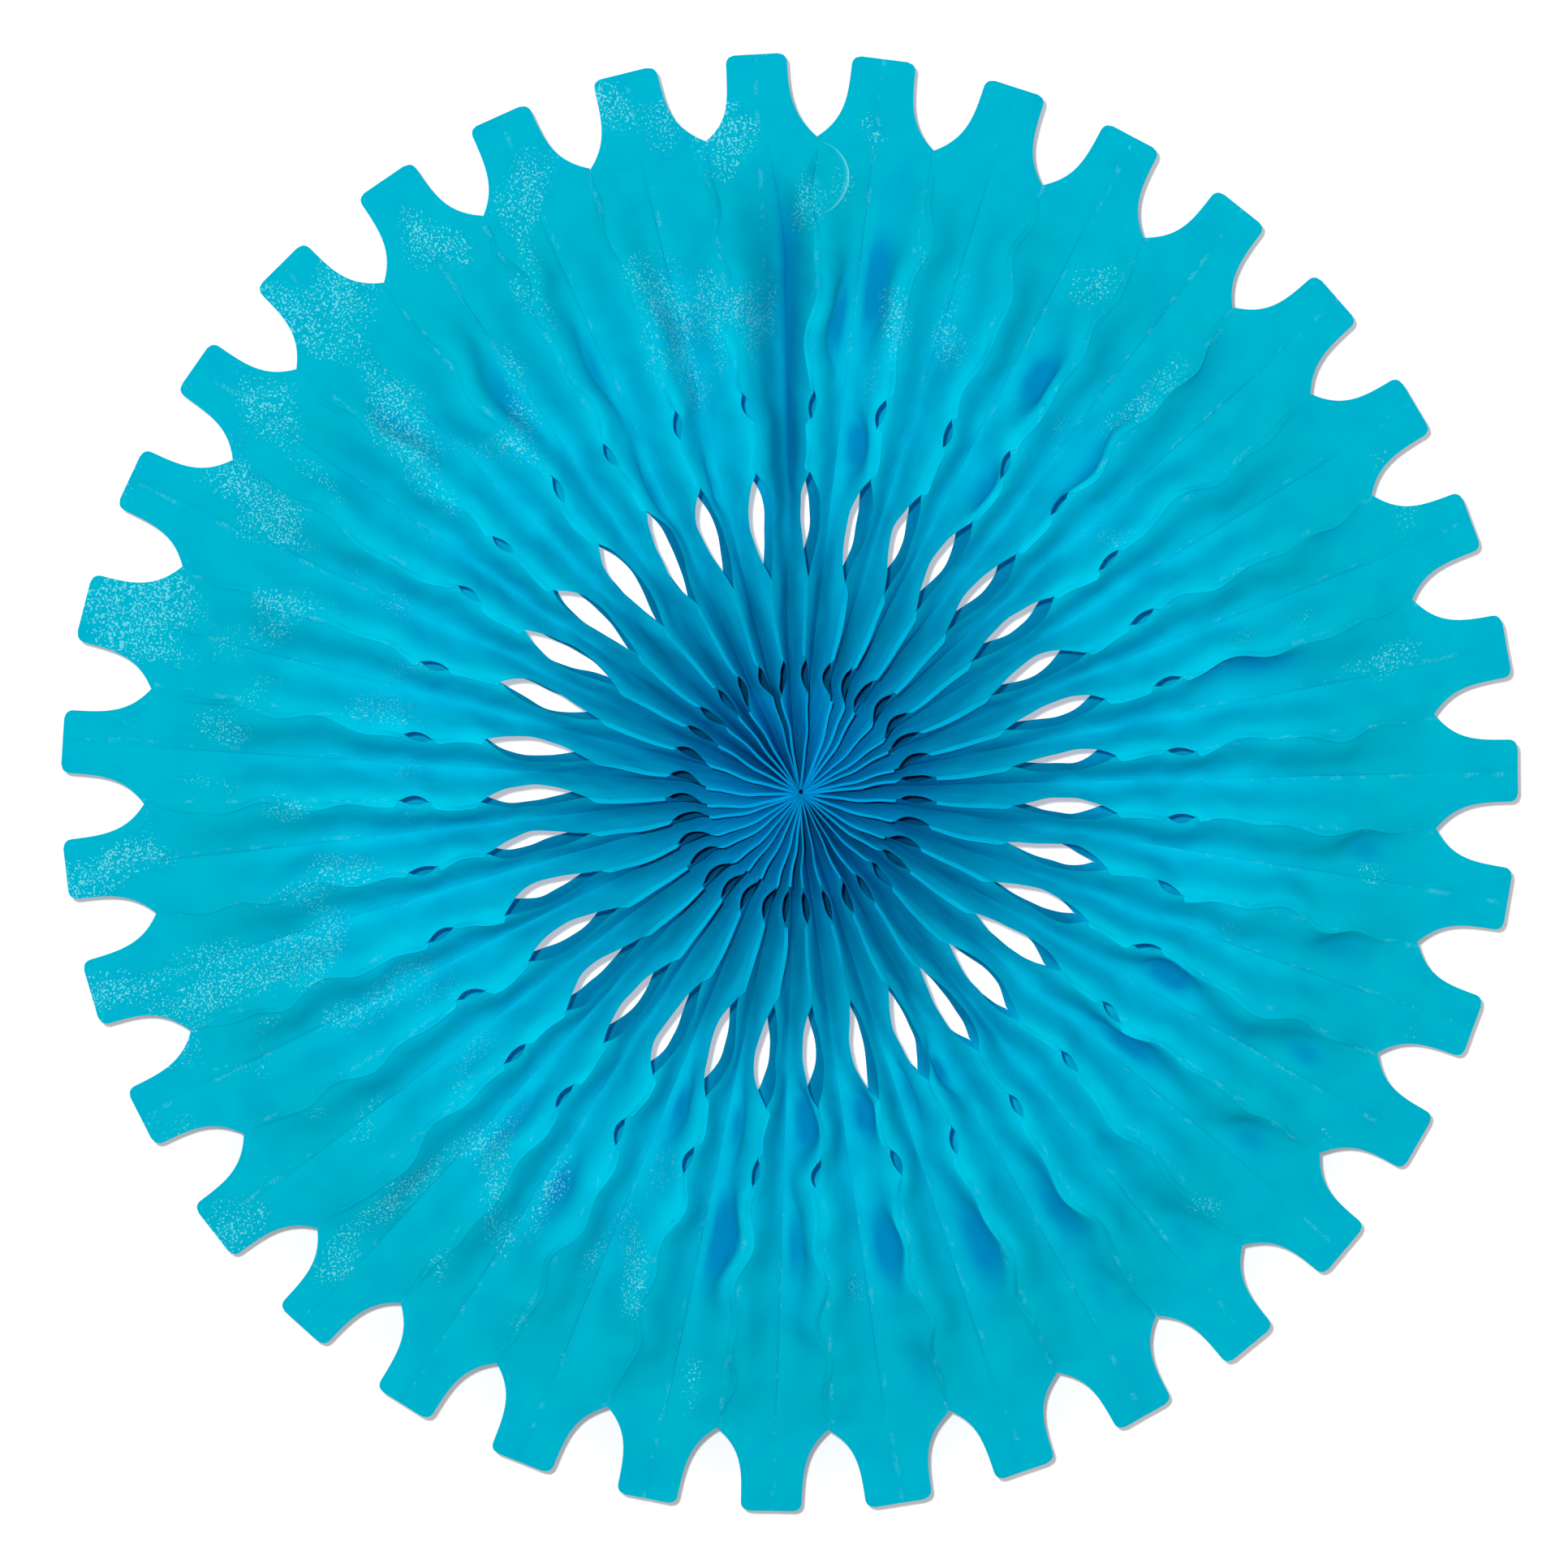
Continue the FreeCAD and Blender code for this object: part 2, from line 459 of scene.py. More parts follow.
    def edge(self, panel: Panel, radius: Array) -> Array:
        """Where a leaf ends, measured across it from its glued centre line.

        Args:
            panel: The panel.
            radius: Radii, in metres.

        Returns:
            The distance of the outer edge, with the glued fin, the cuts and the tooth's flank.
        """
        rng = np.random.default_rng(Seed.CUT_PLACE + 2 * panel.cell + (panel.leaf is Leaf.TRAILING))
        shift = rng.uniform(-self.cut_shift_mm, self.cut_shift_mm) * MM
        cuts = sum(ring.depth_at(radius, shift, panel.face) for ring in self.cuts)
        inner = self.panel_width + self.fin.width - cuts
        share = np.clip((radius - self.notch_radius) / self.tooth_length, 0.0, 1.0)
        flare = self.panel_width - self.tooth_tip_half
        flank = self.tooth_tip_half + flare * (1.0 - share) ** self.tooth_flank_power
        into_corner = np.clip(radius - (self.fan_radius - self.tooth_corner), 0.0, self.tooth_corner)
        corner = self.tooth_corner - np.sqrt(self.tooth_corner ** 2 - into_corner ** 2)
        return np.where(radius <= self.notch_radius, inner, flank - corner)

    def bulge(self, panel: Panel, radius: Array, share: Array) -> Array:
        """How far a panel stands off its straight line from valley to ridge.

        Args:
            panel: The panel.
            radius: Radii, one for each column.
            share: Shares of the way from valley to ridge, by column and row.

        Returns:
            An array of offsets along the panel's outward normal.
        """
        form = self.sheet
        code = Seed.PANEL + 8 * panel.cell
        code = code + 4 * (panel.leaf is Leaf.TRAILING) + 2 * (panel.face is Face.BACK)
        out = np.broadcast_to(radius[:, None], share.shape)
        free = np.sin(math.pi * np.clip(share, 0.0, 1.0))
        middle = form.bow_starts.at(out) * form.bow_ends.at(out / self.notch_radius)
        bow = form.bow.at(code, out + form.bow_slant * share)
        ripple = form.ripple.at(code + 1, out + form.ripple_slant * share)
        dents = self.dents(panel, out, share) if panel.face is Face.FRONT else 0.0
        room = form.dent_room * self.arch(np.minimum(out, self.notch_radius)) * np.clip(share, 0.0, 1.0)
        return middle * free * (bow + ripple + form.fullness) - np.minimum(dents, room)

    def dents(self, panel: Panel, out: Array, share: Array) -> Array:
        """How far a front panel is pushed in by its soft buckles.

        Args:
            panel: The panel.
            out: The radius of each point.
            share: The share of the way from valley to ridge of each point.

        Returns:
            The depth at each point.
        """
        form = self.sheet
        ridge = self.ridge_angle(panel.cell)
        valley = float(self.valley_line(panel.valley, out[:1, 0])[0][0])
        total = np.zeros_like(out)
        for dimple in self.dimples:
            away = (math.radians(dimple.degrees) - ridge + math.pi) % (2.0 * math.pi) - math.pi
            place = 1.0 - away / (valley - ridge)
            if 0.0 <= place <= 1.0:
                along = np.exp(-(((out - dimple.radius) / dimple.spread) ** 2))
                beside = np.exp(-(((share - place) / form.dent_width) ** 2))
                beside = beside * form.dent_valley_end.at(share) * form.dent_ridge_end.at(share)
                total = total + dimple.depth * along * beside
        return total

    def shade(self, panel: Panel, radius: Array, share: Array) -> Array:
        """How much painted shade there is: in the buckles, in the seam's groove and inside the cuts.

        Args:
            panel: The panel.
            radius: Radii, one for each column.
            share: Shares of the way from valley to ridge, by column and row.

        Returns:
            The share of the painted shade colour at each point.
        """
        form, seam = self.shading, self.seam
        out = np.broadcast_to(radius[:, None], share.shape)
        # Painted shade on the back panels where they are seen through the front's cuts: the dark slot
        # insides near the hub and the crescents in the lens-shaped holes.
        if panel.face is Face.BACK:
            return sum(
                ring.strength * ring.starts.at(out) * ring.ends.at(out) * ring.across.at(share)
                for ring in form.rings
            )
        # Painted shade in the buckles: darker where they are deeper, and fainter near the notches.
        total = self.dents(panel, out, share) / form.darkest_dent
        fade = form.dents_fade.at(out / self.notch_radius)
        total = total * (form.least_dent + (1.0 - form.least_dent) * fade)
        # Painted shade along the seam's groove, reaching further across on the leading side.
        if panel.valley % self.cell_count == 0:
            groove = seam.groove_starts.at(out) * seam.groove_ends.at(out)
            reach = seam.leading_reach if panel.leaf is Leaf.LEADING else seam.trailing_reach
            total = total + groove * Rise(reach, 0.0).at(share) ** seam.groove_power
        return np.clip(total, 0.0, 1.0)

    @staticmethod
    def polar(angle: Array, radius: Array, height: Array) -> Array:
        """Return points from their angles around the fan, radii and heights towards the front."""
        places = np.broadcast_arrays(radius * np.sin(angle), -height, radius * np.cos(angle))
        return np.stack(places, axis=-1)

    def swayed(self, points: Array) -> Array:
        """Let the steep pleats near the hub lean and ripple, alike for neighbours so that none cross.

        Args:
            points: Points of any of the sheets.

        Returns:
            The points, turned about the fan's axis.
        """
        form = self.sway
        x, rise, z = points[..., 0], -points[..., 1] / self.half_depth, points[..., 2]
        radius, angle = np.maximum(np.hypot(x, z), form.least_radius), np.arctan2(x, z)
        sag = form.sideways * np.sin(angle) + form.upright * np.cos(angle)
        sag = sag * (1.0 + form.unevenness * np.sin(form.uneven_waves * angle + form.uneven_phase))
        held = form.outer_share * form.outer_ends.at(radius)
        held = held + (1.0 - form.outer_share) * form.inner_ends.at(radius)
        twist = form.ripple_twist * np.sin(angle + form.ripple_phase)
        ripple = form.ripple * np.sin(2.0 * math.pi * radius / form.ripple_length + twist)
        ripple = ripple * form.ripple_ends.at(radius) * form.ripple_starts.at(radius)
        sag = sag * held * np.minimum(radius / form.full_radius, 1.0)
        turn = rise * (sag + ripple * np.abs(rise)) / radius
        moved = points.copy()
        moved[..., 0] = x * np.cos(turn) + z * np.sin(turn)
        moved[..., 2] = z * np.cos(turn) - x * np.sin(turn)
        return moved

    def lines(self, panel: Panel, radius: Array) -> tuple[Array, Array]:
        """The valley and ridge lines between which a panel is spanned.

        Args:
            panel: The panel.
            radius: Radii along the valley, one for each column.

        Returns:
            The valley's points and the ridge's points.
        """
        toward = panel.face.value
        valley_angle, painted_glow = self.valley_line(panel.valley, radius)
        stand = toward * 0.5 * self.layer_gap
        upright = toward * self.strip * np.clip(1.0 - radius / self.notch_radius, 0.0, 1.0)
        valley = self.polar(valley_angle, radius, painted_glow + stand + upright)
        apart = self.ridge_angle(panel.cell) - valley_angle
        reach = np.minimum(radius, self.notch_radius) / np.cos(apart)
        ridge_angle, height = self.ridge_line(panel.cell, panel.face, reach)
        closed = self.tooth_closes.at(radius / self.notch_radius)
        ridge = self.polar(ridge_angle, reach, toward * height + painted_glow * closed + stand)
        past = np.clip(radius - self.notch_radius, 0.0, None)
        return valley, ridge + self.polar(valley_angle, past, 0.0 * past)

    def panel_points(self, panel: Panel, radius: Array, across: Array) -> Array:
        """Points of one panel.

        Args:
            panel: The panel.
            radius: Radii, one for each column.
            across: Distances across the leaf from its centre line, by column and row.

        Returns:
            The points, by column, row and axis.
        """
        form = self.sheet
        valley, ridge = self.lines(panel, radius)
        span = ridge - valley
        share = across / self.panel_width
        points = valley[:, None, :] + share[..., None] * span[:, None, :]
        softness = form.easing * form.easing_starts.at(radius)[:, None]
        easing = -softness * np.sin(2.0 * math.pi * np.clip(share, 0.0, 1.0)) / (2.0 * math.pi)
        points[..., 1] += easing * span[:, None, 1]
        crease = form.crease_depth * np.exp(-((across / form.crease_width) ** 2))
        points[..., 1] += crease * form.crease_starts.at(radius / self.fan_radius)[:, None]
        along = np.gradient(valley, axis=0)
        normal = np.cross(span, along)
        normal /= np.maximum(np.linalg.norm(normal, axis=1, keepdims=True), 1e-12)
        normal *= np.where(normal[:, 1:2] * panel.face.value > 0.0, -1.0, 1.0)
        bulge = self.bulge(panel, radius, share)
        return self.swayed(points + bulge[..., None] * normal[:, None, :])

    def strip_points(self, cell: int, leaf: Leaf, radius: Array) -> Array:
        """Return the two edges of the upright strip along which a leaf is glued to the next cell."""
        edges = [self.lines(Panel(cell, leaf, face), radius)[0] for face in Face]
        return self.swayed(np.stack(edges, axis=1))

    def fin_points(self, panel: Panel, radius: Array, width: Array, rows: int) -> Array:
        """Points of the glued strip that stands along a ridge and flops to one side.

        Args:
            panel: The panel.
            radius: Radii, one for each column.
            width: Width of the strip at each column.
            rows: Number of rows across it.

        Returns:
            The points, by column, row and axis.
        """
        form = self.fin
        _, ridge = self.lines(panel, radius)
        angle = self.ridge_angle(panel.cell)
        rng = np.random.default_rng(Seed.FIN + 2 * panel.cell + (panel.face is Face.BACK))
        falls = math.copysign(1.0, math.sin(angle) + rng.uniform(-form.chance, form.chance))
        flop = form.flop.at(int(rng.integers(1 << 30)), radius)
        lean = form.hub_lean + form.more_lean * form.leans_more.at(radius / self.notch_radius)
        lean = lean + flop * form.flop_starts.at(radius)
        lean = lean[:, None] * np.linspace(form.root_lean, 1.0, rows)[None, :]
        wide = width * (form.hub_width + (1.0 - form.hub_width) * form.widens.at(radius))
        step = (wide / (rows - 1))[:, None]
        side = np.cumsum(falls * np.sin(lean) * step, axis=1)
        up = np.cumsum(np.cos(lean) * step, axis=1)
        side, up = side - side[:, :1], up - up[:, :1]
        apart = panel.leaf.value * 0.5 * self.layer_gap * np.linspace(0.0, 1.0, rows)[None, :]
        x = ridge[:, None, 0] + (side + apart) * math.cos(angle)
        z = ridge[:, None, 2] - (side + apart) * math.sin(angle)
        y = ridge[:, None, 1] - panel.face.value * up
        return self.swayed(np.stack([x, y, z], axis=-1))

    def columns(self) -> Array:
        """Radii of the mesh columns: even, and closer together at the cuts, notches and corners."""
        steps = self.steps
        near = np.arange(self.hub_radius, steps.near_end, steps.near)
        far = np.arange(steps.near_end, self.notch_radius, steps.far)
        marks = [near, far, [self.notch_radius]]
        for ring in self.cuts:
            count = max(steps.least_in_cut, int(ring.length / steps.in_cut))
            shares = np.linspace(-steps.past_cut, steps.past_cut, count)
            marks.append(ring.radius + ring.length / 2.0 * shares)
        past = self.tooth_length - self.tooth_corner
        flank = np.linspace(0.0, 1.0, steps.on_flank)[1:] ** steps.flank_crowding
        marks.append(self.notch_radius + past * flank)
        turns = np.linspace(0.0, 0.5 * math.pi, steps.on_corner)[1:]
        marks.append(self.fan_radius - self.tooth_corner * (1.0 - np.sin(turns)))
        radii = np.sort(np.concatenate(marks))
        keep = [radii[0]]
        for radius in radii[1:]:
            if radius - keep[-1] > steps.least:
                keep.append(radius)
        keep[-1] = self.fan_radius
        nearest = int(np.argmin(np.abs(np.array(keep) - self.notch_radius)))
        keep[nearest] = self.notch_radius
        return np.array(keep)


def add_object(name: str, data: bpy.types.ID) -> bpy.types.Object:
    """Return a new object with the data, linked to the scene."""
    added = bpy.data.objects.new(name, data)
    bpy.context.scene.collection.objects.link(added)
    return added


@dataclass
class MeshBuilder:
    """Collects patches of quads and makes one object of them."""

    points: list[Array] = field(default_factory=list)
    quads: list[Array] = field(default_factory=list)
    shades: list[Array] = field(default_factory=list)
    count: int = 0

    def add_grid(
        self, grid: Array, flip: bool, shown: Array, shade: Union[float, Array] = 0.0
    ) -> None:
        """Add a patch.

        Args:
            grid: Points, by column, row and axis.
            flip: Whether the quads turn the other way.
            shown: Whether each quad is there, by column and row.
            shade: How much painted shade there is at each point, or how much painted highlight if
                negative.
        """
        columns, rows = grid.shape[:2]
        index = np.arange(columns * rows).reshape(columns, rows) + self.count
        corners = [index[:-1, :-1], index[1:, :-1], index[1:, 1:], index[:-1, 1:]]
        quads = np.stack(corners[::-1] if flip else corners, axis=-1)[shown]
        self.points.append(grid.reshape(-1, 3))
        self.shades.append(np.broadcast_to(shade, (columns, rows)).reshape(-1))
        self.quads.append(quads.reshape(-1, 4))
        self.count += columns * rows

    def build(self, name: str, material: bpy.types.Material) -> bpy.types.Object:
        """Make the object.

        Args:
            name: Name of the object.
            material: Its material.

        Returns:
            The new object, linked to the scene.
        """
        points = np.concatenate(self.points)
        quads = np.concatenate(self.quads)
        used, numbers = np.unique(quads, return_inverse=True)
        mesh = bpy.data.meshes.new(name)
        mesh.from_pydata(points[used].tolist(), [], numbers.reshape(quads.shape).tolist())
        shade = mesh.attributes.new("shade", "FLOAT", "POINT")
        shade.data.foreach_set("value", np.concatenate(self.shades)[used].astype(np.float32))
        mesh.shade_smooth()
        mesh.materials.append(material)
        return add_object(name, mesh)


@dataclass
class PaperCell:
    """One glued pair of leaves, with four panels, four glued strips and the half teeth at its rim."""

    plan: FanPlan
    number: int
    panel_rows: int = 11
    fin_rows: int = 3

    def build(self, material: bpy.types.Material) -> bpy.types.Object:
        """Make the cell's piece.

        Args:
            material: The tissue's material.

        Returns:
            The piece, named after its node.
        """
        builder = MeshBuilder()
        plan, radius = self.plan, self.plan.columns()
        inside = radius <= plan.notch_radius + SAME_PLACE
        whole = np.ones((len(radius) - 1, self.panel_rows - 1), dtype=bool)
        for leaf in Leaf:
            strip = plan.strip_points(self.number, leaf, radius[radius < plan.notch_radius])
            builder.add_grid(strip, leaf is Leaf.LEADING, np.ones((strip.shape[0] - 1, 1), dtype=bool))
            for face in Face:
                flip = (leaf is Leaf.LEADING) == (face is Face.FRONT)
                side = Panel(self.number, leaf, face)
                edge = plan.edge(side, radius)
                panel_edge = np.where(inside, np.minimum(edge, plan.panel_width), edge)
                across = panel_edge[:, None] * np.linspace(0.0, 1.0, self.panel_rows)[None, :]
                panel = plan.panel_points(side, radius, across)
                shade = plan.shade(side, radius, across / plan.panel_width)
                builder.add_grid(panel, flip, whole, shade)
                width = np.clip(edge - plan.panel_width, 0.0, plan.fin.width)
                width = width * plan.fin.width_ends.at(radius / plan.notch_radius)
                fin = plan.fin_points(side, radius, width, self.fin_rows)
                glued = inside & (width > plan.fin.least_width)
                shown = np.repeat((glued[:-1] & glued[1:])[:, None], self.fin_rows - 1, axis=1)
                builder.add_grid(fin, flip, shown)
        return builder.build(f"cell_{self.number + 1:02d}_leaves", material)


@dataclass
class ClosingTab:
    """The small rounded tab that lies over the top cell's front panel, against its ridge."""

    plan: FanPlan
    width: float = 15.5 * MM
    length: float = 31.0 * MM
    below_notch: float = 2.0 * MM
    painted_glow: float = 0.35 * MM
    lip: float = 0.5 * MM
    lip_power: int = 6
    edge_highlight_power: int = 16
    outline_marks: int = 33
    row_marks: int = 13

    def build(self, material: bpy.types.Material) -> bpy.types.Object:
        """Make the tab's piece.

        Args:
            material: The tab's material.

        Returns:
            The piece.
        """
        builder = MeshBuilder()
        turn = np.linspace(0.0, math.pi, self.outline_marks)
        centre = self.plan.notch_radius - self.below_notch - self.length / 2.0
        radius = centre - self.length / 2.0 * np.cos(turn)
        reach = self.width * np.sin(turn)
        rows = np.linspace(0.0, 1.0, self.row_marks)
        across = self.plan.panel_width - reach[:, None] * rows[None, :]
        sheet = self.plan.panel_points(Panel(0, Leaf.TRAILING, Face.FRONT), radius, across)
        rim = np.clip(reach / self.width, 0.0, 1.0)[:, None] * rows[None, :] ** self.lip_power
        sheet[..., 1] -= self.painted_glow + self.lip * rim
        whole = np.ones((len(radius) - 1, len(rows) - 1), dtype=bool)
        # The tab's outer edge gets a painted highlight: a negative shade, which the tissue turns into
        # its painted sheen.
        builder.add_grid(sheet, True, whole, -(rows[None, :] ** self.edge_highlight_power))
        return builder.build("closing_tab_sheet", material)


Number = Union[float, "Value"]


class Value:
    """A node's output socket, on which the usual operators add Math nodes."""

    def __init__(self, bench: "NodeBench", socket: bpy.types.NodeSocket) -> None:
        """Keep the node bench and the socket."""
        self.bench = bench
        self.socket = socket

    def __add__(self, other: Number) -> "Value":
        """Return this value plus another."""
        return self.bench.math("ADD", self, other)

    def __sub__(self, other: Number) -> "Value":
        """Return this value less another."""
        return self.bench.math("SUBTRACT", self, other)

    def __rsub__(self, other: Number) -> "Value":
        """Return a number less this value."""
        return self.bench.math("SUBTRACT", other, self)

    def __mul__(self, other: Number) -> "Value":
        """Return this value times another."""
        return self.bench.math("MULTIPLY", self, other)

    def __truediv__(self, other: Number) -> "Value":
        """Return this value divided by another."""
        return self.bench.math("DIVIDE", self, other)

    def __pow__(self, other: Number) -> "Value":
        """Return this value to a power."""
        return self.bench.math("POWER", self, other)

    def ramp(self, rise: Rise) -> "Value":
        """Return the height of a soft rise at this value."""
        sockets = {"Value": self, "From Min": rise.start, "From Max": rise.end}
        settings = {"interpolation_type": "SMOOTHSTEP"}
        return self.bench.node("ShaderNodeMapRange", settings, sockets, "Result")


class NodeBench:
    """Adds nodes to one material's or world's node tree."""

    def __init__(self, tree: bpy.types.NodeTree) -> None:
        """Empty the tree and keep it."""
        tree.nodes.clear()
        self.tree = tree

    def node(
        self, kind: str, settings: Mapping[str, Any], sockets: Mapping[str, Any], output: str
    ) -> Value:
        """Add a node.

        Args:
            kind: The node's type.
            settings: Its settings by name, set before its sockets.
            sockets: Values or links for its input sockets, by name or, for a number, by place.
            output: Name of the output socket to return.

        Returns:
            The output socket.
        """
        node = self.tree.nodes.new(kind)
        for name, setting in settings.items():
            setattr(node, name, setting)
        for name, given in sockets.items():
            usable = [socket for socket in node.inputs if socket.enabled]
            socket = usable[name] if isinstance(name, int) else next(s for s in usable if s.name == name)
            if isinstance(given, Value):
                self.tree.links.new(given.socket, socket)
            else:
                socket.default_value = given
        return Value(self, next(s for s in node.outputs if s.name == output and s.enabled))

    def math(self, operation: str, *values: Number) -> Value:
        """Add a Math node on one or two values."""
        return self.node("ShaderNodeMath", {"operation": operation}, dict(enumerate(values)), "Value")

    def mix(self, share: Number, first: Any, second: Any) -> Value:
        """Mix two colours by a share."""
        sockets = {"Factor": share, "A": first, "B": second}
        return self.node("ShaderNodeMix", {"data_type": "RGBA"}, sockets, "Result")

    def noise(self, place: Value, scale: float, detail: float) -> Value:
        """Add a noise texture and return its grey value."""
        sockets = {"Vector": place, "Scale": scale, "Detail": detail}
        return self.node("ShaderNodeTexNoise", {}, sockets, "Fac")

    def surface(self, shader: Value, kind: str) -> None:
        """Link a shader to a new output node of the given type."""
        output = self.tree.nodes.new(kind)
        self.tree.links.new(shader.socket, output.inputs["Surface"])


Colour = tuple[float, float, float, float]


@dataclass(frozen=True)
class TissueFinish:
    """Dyed tissue paper: matt and cloudy, with fine fibres, a broken, pale sheen in patches that is a
    painted highlight, and painted shade towards the hub, at the rim and where the shade attribute says.
    """

    name: str
    pleats: float
    colour: Colour = (0.0, 0.53, 0.70, 1.0)
    cloud_colour: Colour = (0.0, 0.445, 0.63, 1.0)
    rim_shade_cloud_colour: Colour = (0.0, 0.375, 0.50, 1.0)
    rim_shade_colour: Colour = (0.0, 0.415, 0.52, 1.0)
    hub_shade_colour: Colour = (0.0, 0.27, 0.60, 1.0)
    painted_shade_colour: Colour = (0.0, 0.20, 0.46, 1.0)
    sheen_colour: Colour = (0.16, 0.64, 0.70, 1.0)
    glow_colour: Colour = (0.0, 0.36, 0.78, 1.0)
    glow: float = 0.22
    glow_starts: Rise = Rise(0.03, 0.1)
    sheen: float = 1.0
    sheen_cover: float = 0.75
    sheen_polish: float = 0.25
    edge_highlight_rise: Rise = Rise(0.0, 1.0)
    roughness: float = 0.75
    radial_stretch: float = 2.2
    cloud_scale: float = 55.0
    cloud_rise: Rise = Rise(0.35, 0.7)
    cloud_share: float = 0.55
    streak_scale: float = 30.0
    streak_rise: Rise = Rise(0.4, 0.75)
    streak_share: float = 0.35
    rim_shade_starts: Rise = Rise(0.165, 0.265)
    hub_shade_ends: Rise = Rise(0.0, 0.125)
    painted_shade_rise: Rise = Rise(0.0, 1.4)
    fibre_scale: float = 800.0
    relief: tuple[float, float, float] = (0.9, 0.8, 0.12)
    bump_strength: float = 0.3
    bump_distance: float = 0.0014
    patch_scale: float = 10.0
    patch_rise: Rise = Rise(0.65, 0.86)
    patch_starts: Rise = Rise(0.15, 0.21)
    patch_softness: Rise = Rise(0.03, 0.3)
    upper_share: float = 0.35
    left_rise: Rise = Rise(-0.25, 0.26)
    left_gain: float = 0.16
    sheen_speck_scale: float = 1100.0
    sheen_speck_gain: float = 0.16
    sheen_speck_rise: Rise = Rise(0.72, 0.80)
    line_scale: float = 70.0
    line_rise: Rise = Rise(0.0004, 0.0014)
    line_breaks: Rise = Rise(0.55, 0.65)
    line_sheen_specks: Rise = Rise(0.40, 0.52)
    line_starts: Rise = Rise(0.15, 0.2)
    line_strength: float = 0.24

    def material(self) -> bpy.types.Material:
        """Make the material.

        Returns:
            The material, whose pattern is worked out from the place on the fan.
        """
        material = bpy.data.materials.new(self.name)
        material.use_nodes = True
        bench = NodeBench(material.node_tree)
        place = bench.node("ShaderNodeTexCoord", {}, {}, "Object")
        x, z = (bench.node("ShaderNodeSeparateXYZ", {}, {"Vector": place}, axis) for axis in "XZ")
        radius = (x * x + z * z) ** 0.5
        along = {"X": x / radius, "Y": radius * self.radial_stretch, "Z": z / radius}
        radial = bench.node("ShaderNodeCombineXYZ", {}, along, "Vector")

        clouds = bench.noise(place, self.cloud_scale, 1.0)
        streaks = bench.noise(radial, self.streak_scale, 1.0)
        cloudy = clouds.ramp(self.cloud_rise) * self.cloud_share
        cloudy = cloudy + streaks.ramp(self.streak_rise) * self.streak_share
        colour = bench.mix(cloudy, self.colour, self.cloud_colour)
        # Painted shade: from the middle ring outwards the tissue is painted darker, for how brightly
        # each ring is lit.
        rim = bench.mix(cloudy, self.rim_shade_colour, self.rim_shade_cloud_colour)
        colour = bench.mix(radius.ramp(self.rim_shade_starts), colour, rim)
        # Painted shade: towards the hub, where the pleats are deep, the tissue is painted a darker blue.
        colour = bench.mix(1.0 - radius.ramp(self.hub_shade_ends), colour, self.hub_shade_colour)

        # Painted shade: where the mesh's shade attribute is set, the tissue is mixed towards a darker
        # blue.
        shade = bench.node("ShaderNodeAttribute", {"attribute_name": "shade"}, {}, "Fac")
        colour = bench.mix(shade.ramp(self.painted_shade_rise), colour, self.painted_shade_colour)

        # Negative shade is a painted highlight, as along the closing tab's edge.
        sheen = self.sheen_mask(bench, place, radial, radius, x, z) + (shade * -1.0).ramp(self.edge_highlight_rise)
        # Painted highlight: the sheen is painted into the colour as pale specks and broken streaks.
        colour = bench.mix(sheen * self.sheen_cover, colour, self.sheen_colour)

        fibres = bench.noise(place, self.fibre_scale, 0.0)
        streak_relief, cloud_relief, fibre_relief = self.relief
        bump_sockets = {
            "Strength": self.bump_strength,
            "Distance": self.bump_distance,
            "Height": streaks * streak_relief + clouds * cloud_relief + fibres * fibre_relief,
        }
        bump = bench.node("ShaderNodeBump", {}, bump_sockets, "Normal")

        paper_sockets = {
            "Base Color": colour,
            "Roughness": self.roughness - sheen * self.sheen_polish,
            "Specular IOR Level": 0.0,
            "Normal": bump,
        }
        paper = bench.node("ShaderNodeBsdfPrincipled", {}, paper_sockets, "BSDF")
        through = bench.node("ShaderNodeBsdfTranslucent", {}, {"Color": self.glow_colour}, "BSDF")
        share = radius.ramp(self.glow_starts) * self.glow
        sheet = bench.node("ShaderNodeMixShader", {}, {0: share, 1: paper, 2: through}, "Shader")
        bench.surface(sheet, "ShaderNodeOutputMaterial")
        return material

    def sheen_mask(
        self, bench: "NodeBench", place: Value, radial: Value, radius: Value, x: Value, z: Value
    ) -> Value:
        """Where the painted sheen lies, a painted highlight: in dots within patches, and along parts of
        the glued lines.

        Args:
            bench: The material's nodes.
            place: The place on the fan.
            radial: A place that is stretched along the radius.
            radius: The distance from the fan's axis.
            x: Distance to the right.
            z: Height.

        Returns:
            The strength of the painted sheen, from 0 to 1.
        """
        patches = bench.noise(radial, self.patch_scale, 1.0)
        # The painted sheen leans towards the fan's upper left, where the reflected light shows.
        left = (x * -1.0 + z * self.upper_share).ramp(self.left_rise) * self.left_gain
        patch = (patches + left).ramp(self.patch_rise) * radius.ramp(self.patch_starts)
        sheen_specks = bench.noise(place, self.sheen_speck_scale, 0.0)
        dots = (sheen_specks + patch * self.sheen_speck_gain).ramp(self.sheen_speck_rise) * patch.ramp(self.patch_softness)
        # 100 folds are added so that the fraction is taken of a number above zero
        folds = bench.math("ARCTAN2", x, z) * (self.pleats / math.pi) + 0.5 + 100.0
        beside = bench.math("ABSOLUTE", bench.math("FRACT", folds) - 0.5)
        beside = beside * radius * (math.pi / self.pleats)
        broken = bench.noise(radial, self.line_scale, 1.0).ramp(self.line_breaks)
        lines = (1.0 - beside.ramp(self.line_rise)) * (broken * sheen_specks.ramp(self.line_sheen_specks))
        lines = lines * radius.ramp(self.line_starts) * self.line_strength
        return bench.math("MINIMUM", dots + lines, 1.0) * self.sheen


